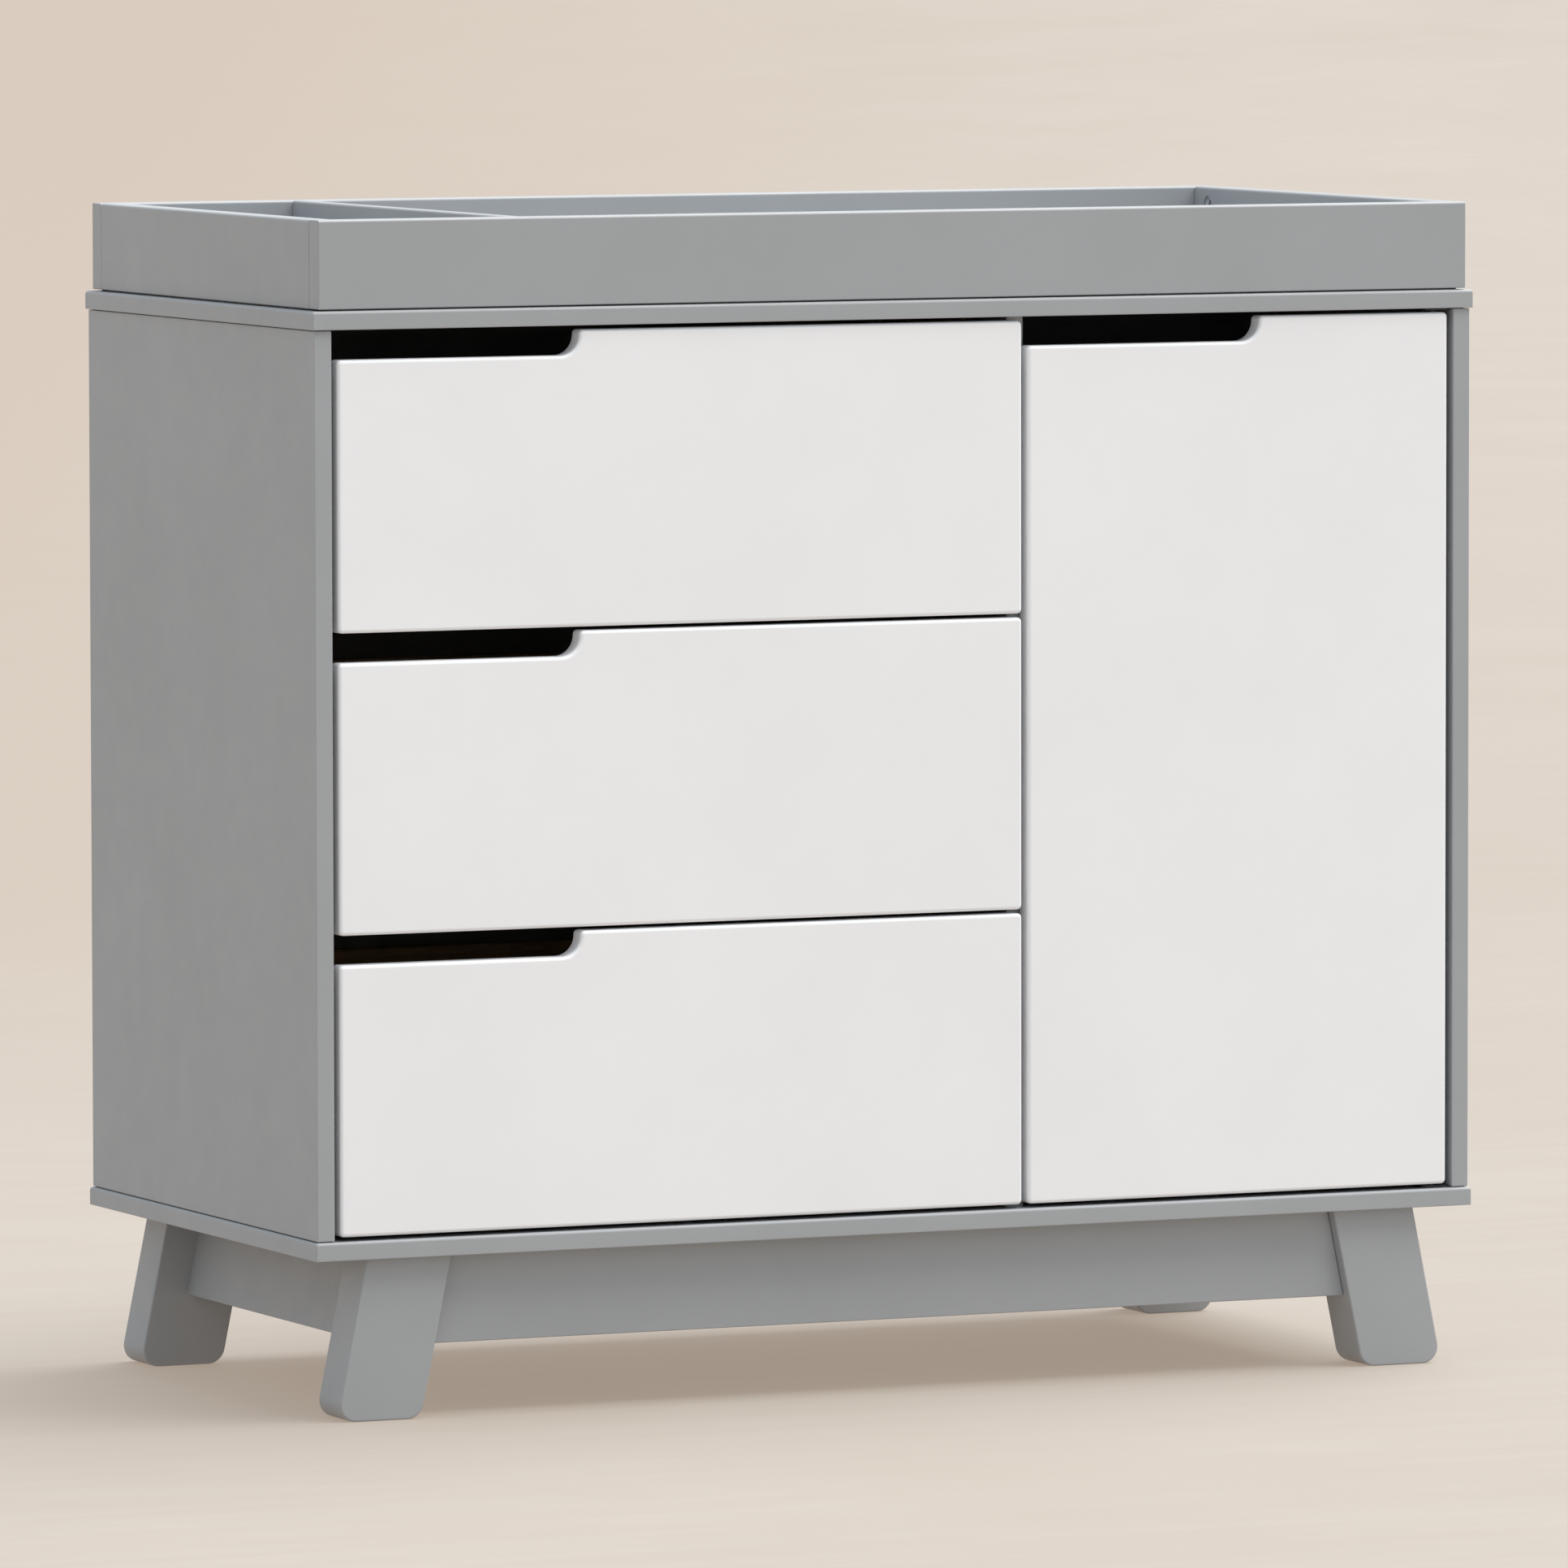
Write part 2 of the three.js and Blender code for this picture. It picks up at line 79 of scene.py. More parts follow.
cameraView = {
    "lens": 317.8,
    "aim": (0.0042, 0.0, 0.4648),
    "distance": 11.069,
    "azimuth": -24.40,  # degrees, front left
    "elevation": 4.243,
    "roll": -0.09,
}
studio = {
    "keyFrom": (0.50, -0.03, 1.0),  # high, a little from the front right
    "keyStrength": 5.0,
    "keySoftness": 62,  # degrees across
    "keyColour": (1.0, 0.96, 0.905),
    "skyColour": (0.82, 0.91, 1.0),
    "skyStrength": 0.81,
}
floorLook = {
    "flatRadius": 25.0,
    "rise": ((36.0, 0.9), (47.0, 4.0), (56.0, 9.0)),  # radius and height of the far rim
    "light": (0.199, 0.198, 0.192),
    "dark": (0.184, 0.181, 0.172),
    "deep": (0.157, 0.140, 0.126),  # darker tone for the streaks, and the painted shade at the back left of the room
    "turn": 24.0,  # degrees, the way that the floor's tones and streaks run
    "deepBack": (0.8, 4.5),  # metres behind the middle, where the painted shade starts and is full
    "deepAcross": (1.6, -1.6),  # metres to the side, where the painted shade goes from faint to full
    "patches": 1.6,
    "streaks": (2.2, 26.0),  # along the floor's own direction and across it
    "streakDepth": 0.24,
    "deepFaint": 0.2,  # share of the deep tone, as painted shade, where it is faintest
    "roughness": 0.8,
    "gloss": 0.2,
    "glow": (0.33, 0.267, 0.213),  # painted light: the floor glows though it is no lamp, which keeps the shadow under the table pale and warm
}
mixSockets = {"amount": 0, "first": 6, "second": 7, "result": 2}  # of a node that mixes colours


def addNode(tree, kind, values=None, **settings):
    node = tree.nodes.new(kind)
    for key, value in settings.items():
        setattr(node, key, value)
    for key, value in (values or {}).items():
        node.inputs[key].default_value = value
    return node


def startMaterial(name):
    material = bpy.data.materials.new(name)
    material.use_nodes = True
    tree = material.node_tree
    tree.nodes.clear()
    shader = addNode(tree, "ShaderNodeBsdfPrincipled")
    output = addNode(tree, "ShaderNodeOutputMaterial")
    tree.links.new(shader.outputs["BSDF"], output.inputs["Surface"])
    return material, tree, shader


def objectSpace(tree, stretch=(1, 1, 1), turn=(0, 0, 0)):
    place = addNode(tree, "ShaderNodeTexCoord")
    mapping = addNode(tree, "ShaderNodeMapping", {"Scale": stretch, "Rotation": turn})
    tree.links.new(place.outputs["Object"], mapping.inputs["Vector"])
    return mapping.outputs["Vector"]


def noise(tree, space, scale, detail=2.0, roughness=0.5):
    values = {"Scale": scale, "Detail": detail, "Roughness": roughness}
    node = addNode(tree, "ShaderNodeTexNoise", values)
    tree.links.new(space, node.inputs["Vector"])
    return node.outputs["Fac"]


def spread(tree, value, low, high, start=0.35, stop=0.65):
    node = addNode(tree, "ShaderNodeMapRange", {
        "From Min": start, "From Max": stop, "To Min": low, "To Max": high,
    })
    tree.links.new(value, node.inputs["Value"])
    return node.outputs["Result"]


def blend(tree, amount, first, second):
    node = addNode(tree, "ShaderNodeMix", data_type="RGBA")
    for place, colour in (("first", first), ("second", second)):
        socket = node.inputs[mixSockets[place]]
        if isinstance(colour, tuple):
            socket.default_value = (*colour, 1)
        else:
            tree.links.new(colour, socket)
    tree.links.new(amount, node.inputs[mixSockets["amount"]])
    return node.outputs[mixSockets["result"]]


def bump(tree, height, strength, distance, under=None):
    node = addNode(tree, "ShaderNodeBump", {"Strength": strength, "Distance": distance})
    tree.links.new(height, node.inputs["Height"])
    if under is not None:
        tree.links.new(under, node.inputs["Normal"])
    return node.outputs["Normal"]


def linkShader(tree, shader, colour, roughness, normal=None):
    tree.links.new(colour, shader.inputs["Base Color"])
    tree.links.new(roughness, shader.inputs["Roughness"])
    if normal is not None:
        tree.links.new(normal, shader.inputs["Normal"])


def makeCamera():
    azimuth = math.radians(cameraView["azimuth"])
    elevation = math.radians(cameraView["elevation"])
    back = Vector((
        math.sin(azimuth) * math.cos(elevation),
        -math.cos(azimuth) * math.cos(elevation),
        math.sin(elevation),
    ))
    lens = bpy.data.cameras.new("camera")
    lens.lens = cameraView["lens"]
    lens.sensor_width = 36
    lens.clip_start = 0.1
    lens.clip_end = 600
    camera = bpy.data.objects.new("camera", lens)
    turn = Euler((math.pi / 2 - elevation, 0, azimuth)).to_matrix().to_4x4()
    roll = Matrix.Rotation(math.radians(cameraView["roll"]), 4, "Z")
    place = Matrix.Translation(Vector(cameraView["aim"]) + back * cameraView["distance"])
    camera.matrix_world = place @ turn @ roll
    scene.collection.objects.link(camera)
    scene.camera = camera


def makeLight():
    key = bpy.data.lights.new("key", "SUN")
    key.energy = studio["keyStrength"]
    key.angle = math.radians(studio["keySoftness"])
    key.color = studio["keyColour"]
    lamp = bpy.data.objects.new("key", key)
    lamp.rotation_euler = Vector(studio["keyFrom"]).to_track_quat("Z", "Y").to_euler()
    scene.collection.objects.link(lamp)
    world = bpy.data.worlds.new("studio")
    world.use_nodes = True
    sky = world.node_tree.nodes["Background"]
    sky.inputs["Color"].default_value = (*studio["skyColour"], 1)
    sky.inputs["Strength"].default_value = studio["skyStrength"]
    scene.world = world
    scene.view_settings.view_transform = "Standard"


def backLeftShade(tree):
    # painted shade: 0 in front and on the right of the floor, 1 at its back left, where the floor
    # is painted darker as if less light reached it
    turn = math.radians(floorLook["turn"])
    parts = addNode(tree, "ShaderNodeSeparateXYZ")
    both = addNode(tree, "ShaderNodeMath", operation="MULTIPLY")
    tree.links.new(objectSpace(tree, turn=(0, 0, turn)), parts.inputs["Vector"])
    across = spread(tree, parts.outputs["X"], floorLook["deepFaint"], 1, *floorLook["deepAcross"])
    back = spread(tree, parts.outputs["Y"], 0, 1, *floorLook["deepBack"])
    tree.links.new(across, both.inputs[0])
    tree.links.new(back, both.inputs[1])
    return both.outputs[0]


def makeFloor():
    bm = bmesh.new()
    bmesh.ops.create_circle(bm, cap_ends=True, radius=floorLook["flatRadius"], segments=96)
    for radius, height in floorLook["rise"]:
        rim = [edge for edge in bm.edges if edge.is_boundary]
        grown = bmesh.ops.extrude_edge_only(bm, edges=rim)["geom"]
        ring = [item for item in grown if isinstance(item, bmesh.types.BMVert)]
        growth = radius / ring[0].co.xy.length
        bmesh.ops.scale(bm, vec=(growth, growth, 1), verts=ring)
        bmesh.ops.translate(bm, vec=(0, 0, height - ring[0].co.z), verts=ring)
    bmesh.ops.recalc_face_normals(bm, faces=bm.faces)
    if bm.faces[0].normal.z < 0:
        bmesh.ops.reverse_faces(bm, faces=bm.faces)
    mesh = bpy.data.meshes.new("floor")
    bm.to_mesh(mesh)
    bm.free()
    mesh.shade_smooth()
    floor = bpy.data.objects.new("floor", mesh)
    scene.collection.objects.link(floor)
    material, tree, shader = startMaterial("pale floor")
    space = objectSpace(tree)
    patches = noise(tree, space, floorLook["patches"], detail=6, roughness=0.6)
    near = blend(tree, spread(tree, patches, 0, 1), floorLook["dark"], floorLook["light"])
    along, across = floorLook["streaks"]
    turned = objectSpace(tree, (along, across, 1), (0, 0, math.radians(floorLook["turn"])))
    streaks = noise(tree, turned, scale=1, detail=5, roughness=0.65)
    depth = floorLook["streakDepth"]
    streakTone = spread(tree, streaks, depth, 0, start=0.34, stop=0.6)
    near = blend(tree, streakTone, near, floorLook["deep"])
    # painted shade: the floor darkens towards its back left
    colour = blend(tree, backLeftShade(tree), near, floorLook["deep"])
    tree.links.new(colour, shader.inputs["Base Color"])
    shader.inputs["Roughness"].default_value = floorLook["roughness"]
    shader.inputs["Specular IOR Level"].default_value = floorLook["gloss"]
    # painted light: the floor glows everywhere, also in the shadow under the table, and this glow
    # lights the table from below
    shader.inputs["Emission Color"].default_value = (*floorLook["glow"], 1)
    shader.inputs["Emission Strength"].default_value = 1
    mesh.materials.append(material)


makeCamera()
makeLight()
makeFloor()
print("studio ready")


# ---- finishes

greyPaint = {
    "light": (0.360, 0.373, 0.389),
    "dark": (0.341, 0.354, 0.368),
    "patches": 5.0,  # soft tone patches a metre
    "stipple": 620.0,  # roller texture cells a metre
    "stippleBump": (0.12, 0.1 * mm),  # strength and depth
    "wave": 9.0,
    "waveBump": (0.05, 2 * mm),
    "sheen": 38.0,  # patches of gloss a metre
    "roughness": (0.40, 0.50),
    "gloss": 0.42,
}
whitePaint = {
    "light": (0.864, 0.873, 0.893),
    "dark": (0.842, 0.850, 0.870),
    "patches": 7.0,
    "stipple": 620.0,
    "stippleBump": (0.10, 0.1 * mm),  # strength and depth
    "wave": 9.0,
    "waveBump": (0.04, 2 * mm),
    "sheen": 38.0,  # patches of gloss a metre
    "roughness": (0.36, 0.46),
    "gloss": 0.45,
}
paleWood = {
    "light": (0.690, 0.520, 0.340),
    "dark": (0.545, 0.375, 0.220),
    "pore": (0.430, 0.285, 0.160),
    "rings": 26.0,
    "waver": 2.2,
    "pores": 420.0,
    "poreDepth": 0.55,
    "poreBump": (0.25, 0.15 * mm),
    "wash": (0.15, 0.75),  # how far the rings fade into the light tone
    "longGrain": 0.06,  # stretch along the grain
    "roughness": (0.42, 0.58),
    "gloss": 0.4,
}
zincPlate = {
    "light": (0.74, 0.75, 0.77),
    "dark": (0.69, 0.70, 0.72),
    "clouds": 34.0,
    "scratches": 1400.0,
    "scratchStretch": 0.05,
    "scratchBump": (0.12, 0.05 * mm),
    "roughness": (0.27, 0.36),
}
blackCoat = {
    "light": (0.022, 0.022, 0.024),
    "dark": (0.015, 0.015, 0.016),
    "clouds": 60.0,
    "grain": 900.0,
    "grainBump": (0.3, 0.08 * mm),
    "roughness": (0.30, 0.45),
}
darkPlastic = {
    "light": (0.050, 0.051, 0.054),
    "dark": (0.036, 0.037, 0.040),
    "clouds": 60.0,
    "grain": 1800.0,
    "grainBump": (0.3, 0.08 * mm),
    "roughness": (0.48, 0.60),
}


def satinPaint(name, look):
    material, tree, shader = startMaterial(name)
    space = objectSpace(tree)
    patches = noise(tree, space, look["patches"], detail=4, roughness=0.6)
    colour = blend(tree, spread(tree, patches, 0, 1), look["dark"], look["light"])
    low, high = look["roughness"]
    sheen = spread(tree, noise(tree, space, look["sheen"], detail=3), low, high)
    wave = bump(tree, noise(tree, space, look["wave"], detail=1), *look["waveBump"])
    stipple = noise(tree, space, look["stipple"], roughness=0.6)
    normal = bump(tree, stipple, *look["stippleBump"], under=wave)
    linkShader(tree, shader, colour, sheen, normal)
    shader.inputs["Specular IOR Level"].default_value = look["gloss"]
    return material


def woodGrain(name, look, along):
    material, tree, shader = startMaterial(name)
    stretch = tuple(look["longGrain"] if axis == along else 1 for axis in "xyz")
    space = objectSpace(tree, stretch)
    waver = noise(tree, space, look["waver"], detail=3, roughness=0.55)
    rings = addNode(tree, "ShaderNodeTexWave", {
        "Scale": look["rings"], "Distortion": 5.5, "Detail": 3, "Detail Scale": 1.4,
    }, wave_type="RINGS", rings_direction="SPHERICAL")
    tree.links.new(space, rings.inputs["Vector"])
    ringTone = spread(tree, rings.outputs["Fac"], 0, 1, start=0.1, stop=0.95)
    base = blend(tree, ringTone, look["light"], look["dark"])
    softened = blend(tree, spread(tree, waver, *look["wash"]), base, look["light"])
    pores = noise(tree, space, look["pores"], detail=3, roughness=0.7)
    poreTone = spread(tree, pores, look["poreDepth"], 0, start=0.30, stop=0.48)
    colour = blend(tree, poreTone, softened, look["pore"])
    low, high = look["roughness"]
    sheen = spread(tree, pores, high, low, start=0.35, stop=0.6)
    linkShader(tree, shader, colour, sheen, bump(tree, pores, *look["poreBump"]))
    shader.inputs["Specular IOR Level"].default_value = look["gloss"]
    return material


def zincSteel(name, look):
    material, tree, shader = startMaterial(name)
    clouds = noise(tree, objectSpace(tree), look["clouds"], detail=5, roughness=0.65)
    colour = blend(tree, spread(tree, clouds, 0, 1), look["dark"], look["light"])
    low, high = look["roughness"]
    sheen = spread(tree, clouds, high, low)
    stretched = objectSpace(tree, (1, look["scratchStretch"], 1))
    lines = noise(tree, stretched, look["scratches"])
    linkShader(tree, shader, colour, sheen, bump(tree, lines, *look["scratchBump"]))
    shader.inputs["Metallic"].default_value = 1
    return material


def mouldedPlastic(name, look):
    material, tree, shader = startMaterial(name)
    space = objectSpace(tree)
    grain = noise(tree, space, look["grain"])
    clouds = noise(tree, space, look["clouds"], detail=3)
    colour = blend(tree, spread(tree, clouds, 0, 1), look["dark"], look["light"])
    sheen = spread(tree, grain, *look["roughness"])
    linkShader(tree, shader, colour, sheen, bump(tree, grain, *look["grainBump"]))
    return material


finishes = {
    "grey_paint": satinPaint("satin grey paint", greyPaint),
    "white_paint": satinPaint("satin white paint", whitePaint),
    "bare_board": satinPaint("grey foil on board", {**greyPaint, "stipple": 380.0, "gloss": 0.5}),
    "drawer_wood": woodGrain("pale wood across", paleWood, "x"),
    "zinc_steel": zincSteel("zinc plated steel", zincPlate),
    "black_steel": mouldedPlastic("black coated steel", blackCoat),
    "dark_plastic": mouldedPlastic("dark moulded plastic", darkPlastic),
}
sideGrain = woodGrain("pale wood front to back", paleWood, "y")
print("finishes ready:", len(finishes) + 1)


# ---- shared shop tools

sharpAngle = 40  # degrees; corners sharper than this stay crisp


def startBoard(low, high):
    bm = bmesh.new()
    bmesh.ops.create_cube(bm, size=1)
    bmesh.ops.scale(bm, vec=high - low, verts=bm.verts)
    bmesh.ops.translate(bm, vec=(low + high) / 2, verts=bm.verts)
    return bm


def startOutline(corners, depth, start=0.0):
    # corners are (x, z); the shape runs back from y = start
    bm = bmesh.new()
    face = bm.faces.new([bm.verts.new((x, start, z)) for x, z in corners])
    grown = bmesh.ops.extrude_face_region(bm, geom=[face])["geom"]
    far = [item for item in grown if isinstance(item, bmesh.types.BMVert)]
    bmesh.ops.translate(bm, vec=(0, depth, 0), verts=far)
    bmesh.ops.recalc_face_normals(bm, faces=bm.faces)
    return bm


def startRod(radius, length, middle, along="z", segments=32):
    bm = bmesh.new()
    bmesh.ops.create_cone(
        bm, cap_ends=True, segments=segments, radius1=radius, radius2=radius, depth=length,
    )
    turn = {"x": ("Y", 90), "y": ("X", 90), "z": ("Z", 0)}[along]
    spin = Matrix.Rotation(math.radians(turn[1]), 3, turn[0])
    bmesh.ops.rotate(bm, matrix=spin, verts=bm.verts)
    bmesh.ops.translate(bm, vec=middle, verts=bm.verts)
    return bm


def roundEdges(bm, edges, radius, segments=4):
    bmesh.ops.bevel(
        bm, geom=edges, offset=radius, offset_type="OFFSET", segments=segments,
        profile=0.5, affect="EDGES", material=-1, clamp_overlap=True,
    )


def runsAlong(edge, axis):
    step = edge.verts[1].co - edge.verts[0].co
    return abs(step["xyz".index(axis)]) > 0.9 * step.length


def edgesAlong(bm, axis):
    return [edge for edge in bm.edges if runsAlong(edge, axis)]


def edgesAcross(bm, axis):
    return [edge for edge in bm.edges if not runsAlong(edge, axis)]


def middleOf(edge):
    return (edge.verts[0].co + edge.verts[1].co) / 2


def edgesAt(bm, x, z):
    # the edges that run front to back at that place
    found = []
    for edge in edgesAlong(bm, "y"):
        middle = middleOf(edge)
        if math.hypot(middle.x - x, middle.z - z) < nearly:
            found.append(edge)
    return found


def faceRims(bm):
    # the edges around the front and back faces of an outline
    return [edge for edge in bm.edges if abs(edge.verts[0].co.y - edge.verts[1].co.y) < nearly]


def boxOf(node):
    low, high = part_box(node)
    return low, high, (low + high) / 2


def innerFace(node, side):
    # x of the face of a left or right part that looks at the middle
    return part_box(node)[1].x if side == "left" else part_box(node)[0].x


def joinInto(bm, other):
    spare = bpy.data.meshes.new("spare")
    other.to_mesh(spare)
    other.free()
    bm.from_mesh(spare)
    bpy.data.meshes.remove(spare)


def objectFrom(bm, name):
    mesh = bpy.data.meshes.new(name)
    bm.to_mesh(mesh)
    bm.free()
    piece = bpy.data.objects.new(name, mesh)
    scene.collection.objects.link(piece)
    return piece


def settle(piece):
    # takes the modifiers into the mesh
    graph = bpy.context.evaluated_depsgraph_get()
    shaped = bpy.data.meshes.new_from_object(piece.evaluated_get(graph))
    rough = piece.data
    piece.modifiers.clear()
    piece.data = shaped
    bpy.data.meshes.remove(rough)
    shaped.name = piece.name


def easeEdges(piece, radii, under=None):
    # radii are for the edges along x, y and z; under is for the edges of the lower face
    widest = max(radii)
    bm = bmesh.new()
    bm.from_mesh(piece.data)
    weights = bm.edges.layers.float.new("bevel_weight_edge")
    lowest = min(vert.co.z for vert in bm.verts)
    for edge in bm.edges:
        for axis, radius in zip("xyz", radii):
            if runsAlong(edge, axis):
                edge[weights] = radius / widest
        if under is not None and middleOf(edge).z < lowest + nearly:
            edge[weights] = under / widest
    bm.to_mesh(piece.data)
    bm.free()
    easing = piece.modifiers.new("ease", "BEVEL")
    easing.width = widest
    easing.segments = 4
    easing.limit_method = "WEIGHT"
    easing.profile = 0.5
    settle(piece)


def cutOut(piece, cutters):
    shape = bmesh.new()
    for cutter in cutters:
        joinInto(shape, cutter)
    tool = objectFrom(shape, "cutter")
    cut = piece.modifiers.new("cut", "BOOLEAN")
    cut.operation = "DIFFERENCE"
    cut.solver = "EXACT"
    cut.object = tool
    settle(piece)
    bpy.data.objects.remove(tool)


def grown(node, amount):
    low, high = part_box(node)
    margin = Vector(amount)
    return startBoard(low - margin, high + margin)


def finishPiece(piece, node, finish=None, slot=None, stands=True):
    mesh = piece.data
    mesh.materials.clear()
    mesh.materials.append(finish or finishes[slot or slotOf[node]])
    mesh.shade_smooth()
    mesh.set_sharp_from_angle(angle=math.radians(sharpAngle))
    shading = piece.modifiers.new("shading", "WEIGHTED_NORMAL")
    shading.keep_sharp = True
    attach(piece, bodyOf[node])
    if stands:
        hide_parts(node)
    return piece


def makeBoard(node, radii, cutters=(), finish=None, under=None, lift=0.0, short=(0, 0, 0)):
    # lift raises the underside; short leaves an open joint line at each end
    low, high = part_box(node)
    gap = Vector(short)
    piece = objectFrom(startBoard(low + gap + Vector((0, 0, lift)), high - gap), node + "_board")
    easeEdges(piece, radii, under)
    if cutters:
        cutOut(piece, cutters)
    return finishPiece(piece, node, finish)


# ---- case

caseEdges = {
    "slab": (2.6 * mm, 2.6 * mm, 1.2 * mm),
    "underSlab": 0.7 * mm,
    "sidePanel": (0.8 * mm, 0.8 * mm, 0.8 * mm),
    "centrePanel": (0.3 * mm, 0.3 * mm, 0.5 * mm),
    "backPanel": (0.3 * mm, 0.3 * mm, 0.3 * mm),
    "panelJoint": (0, 0, 0.6 * mm),  # joint line between a side panel and each slab
    "grooveSlack": (0.3 * mm, 0.2 * mm, 0.3 * mm),
}
pinWall = {"left": "centre_panel", "right": "right_side_panel"}
pinHoles = {"radius": 2.7 * mm, "depth": 9 * mm, "rowSpacing": 64 * mm, "rowsEachWay": 2}


def pinHoleRods(side):
    rods = []
    face = innerFace(pinWall[side], side)
    each = pinHoles["rowsEachWay"]
    for end in ends:
        middle = boxOf(f"shelf_pin_{end}_{side}")[2]
        for row in range(-each, each + 1):
            place = Vector((face, middle.y, middle.z + row * pinHoles["rowSpacing"]))
            rod = startRod(pinHoles["radius"], 2 * pinHoles["depth"], place, "x", segments=20)
            rods.append(rod)
    return rods


def makeCase():
    slack = caseEdges["grooveSlack"]
    for node in ("top_slab", "bottom_slab"):
        cutters = [grown("back_panel", slack)]
        makeBoard(node, caseEdges["slab"], cutters, under=caseEdges["underSlab"])
    joint = caseEdges["panelJoint"]
    rods = {"left": [], "right": pinHoleRods("right")}
    for side in sides:
        cutters = [grown("back_panel", slack), *rods[side]]
        makeBoard(f"{side}_side_panel", caseEdges["sidePanel"], cutters, short=joint)
    makeBoard("centre_panel", caseEdges["centrePanel"], pinHoleRods("left"))
    makeBoard("back_panel", caseEdges["backPanel"])


makeCase()
print("case boards made")


# ---- legs and aprons

legShape = {"width": 71 * mm, "splay": 11.6, "toeRadius": 14 * mm, "ease": 1.5 * mm}
apronShape = {"thickness": 18 * mm, "ease": 1.0 * mm}
legLean = math.tan(math.radians(legShape["splay"]))


def makeLeg(end, side):
    node = f"leg_{end}_{side}"
    low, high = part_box(node)
    inner = innerFace(node, side)  # the inner edge at the top
    outer = inner - inward[side] * legShape["width"]
    run = -inward[side] * legLean * high.z
    corners = [(outer + run, 0), (inner + run, 0), (inner, high.z), (outer, high.z)]
    bm = startOutline(corners, high.y - low.y, low.y)
    tilt = math.radians(legShape["splay"])
    for x, angle in ((outer + run, math.pi / 2 - tilt), (inner + run, math.pi / 2 + tilt)):
        cut = legShape["toeRadius"] / math.tan(angle / 2)
        roundEdges(bm, edgesAt(bm, x, 0), cut, segments=10)
    roundEdges(bm, faceRims(bm), legShape["ease"])
    finishPiece(objectFrom(bm, node + "_board"), node)


def makeLongApron(end):
    node = f"apron_{end}"
    low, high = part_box(node)
    run = legLean * (high.z - low.z)
    corners = [(low.x, low.z), (high.x, low.z), (high.x - run, high.z), (low.x + run, high.z)]
    bm = startOutline(corners, high.y - low.y, low.y)
    roundEdges(bm, faceRims(bm), apronShape["ease"], segments=3)
    finishPiece(objectFrom(bm, node + "_board"), node)


def makeSideApron(side):
    node = f"apron_{side}"
    low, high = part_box(node)
    inner = innerFace(node, side)
    thick = -inward[side] * apronShape["thickness"]
    run = -inward[side] * legLean * (high.z - low.z)
    foot = sorted((inner + run, inner + run + thick))
    head = sorted((inner, inner + thick))
    corners = [(foot[0], low.z), (foot[1], low.z), (head[1], high.z), (head[0], high.z)]
    bm = startOutline(corners, high.y - low.y, low.y)
    lower = [edge for edge in edgesAlong(bm, "y") if middleOf(edge).z < low.z + mm]
    roundEdges(bm, lower, apronShape["ease"], segments=3)
    finishPiece(objectFrom(bm, node + "_board"), node)


for end in ends:
    makeLongApron(end)
    for side in sides:
        makeLeg(end, side)
for side in sides:
    makeSideApron(side)
print("legs and aprons made")


# ---- drawer fronts and the door

frontShape = {
    "cutLength": 203 * mm,
    "cutDepth": 20 * mm,
    "cutRadius": 16 * mm,
    "corner": 3.5 * mm,
    "ease": 3 * mm,
    "grooveSlack": (0.4 * mm, 0.4 * mm, 0.3 * mm),
}


def startFront(node):
    low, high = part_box(node)
    cut = low.x + frontShape["cutLength"]
    floor = high.z - frontShape["cutDepth"]
    outer = [(low.x, low.z), (high.x, low.z), (high.x, high.z)]
    corners = [*outer, (cut, high.z), (cut, floor), (low.x, floor)]
    bm = startOutline(corners, high.y - low.y, low.y)
    hollow = edgesAt(bm, cut, floor)
    rest = [edge for edge in edgesAlong(bm, "y") if edge not in hollow]
    roundEdges(bm, rest, frontShape["corner"])
    roundEdges(bm, edgesAt(bm, cut, floor), frontShape["cutRadius"], segments=14)
    roundEdges(bm, faceRims(bm), frontShape["ease"], segments=5)
    return bm


def makeDrawerFront(row):
    node = f"drawer_{row}_front"
    piece = objectFrom(startFront(node), node + "_board")
    cutOut(piece, [grown(f"drawer_{row}_bottom", frontShape["grooveSlack"])])
    finishPiece(piece, node)


hinge = next(joint for joint in frame["joints"] if joint["name"] == "door_hinge")
doorPivot = {
    "pin": tuple(hinge["pos_m"][:2]),
    "pinRadius": 3 * mm,
    "pinReach": 12 * mm,
    "slack": 0.3 * mm,
    "holeDeeper": 0.9 * mm,
}


def makeDoor():
    piece = objectFrom(startFront("door"), "door_board")
    low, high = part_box("door")
    radius = doorPivot["pinRadius"] + doorPivot["slack"]
    reach = doorPivot["pinReach"] + doorPivot["holeDeeper"]
    places = [Vector((*doorPivot["pin"], level)) for level in (high.z, low.z)]
    cutOut(piece, [startRod(radius, 2 * reach, place) for place in places])
    finishPiece(piece, "door")


for row in rows:
    makeDrawerFront(row)
makeDoor()
print("fronts made")


# ---- screws, shared by the fittings

screwShape = {
    "radius": 3.3 * mm,
    "height": 1.5 * mm,
    "dome": 1.1 * mm,
    "cross": (4.2 * mm, 0.85 * mm, 1.0 * mm),  # length, width and depth of the recess
    "turn": (0.5, 37),  # each stops at its own angle: the first, and the change a metre
}


def cutCross(piece, cross, top, along="z"):
    # one arm at a time, into a face that looks along the axis
    length, width, depth = cross
    for first, second in ((length, width), (width, length)):
        size = Vector((first, second, 2 * depth))
        if along == "x":
            size = Vector((2 * depth, first, second))
        cutOut(piece, [startBoard(top - size / 2, top + size / 2)])


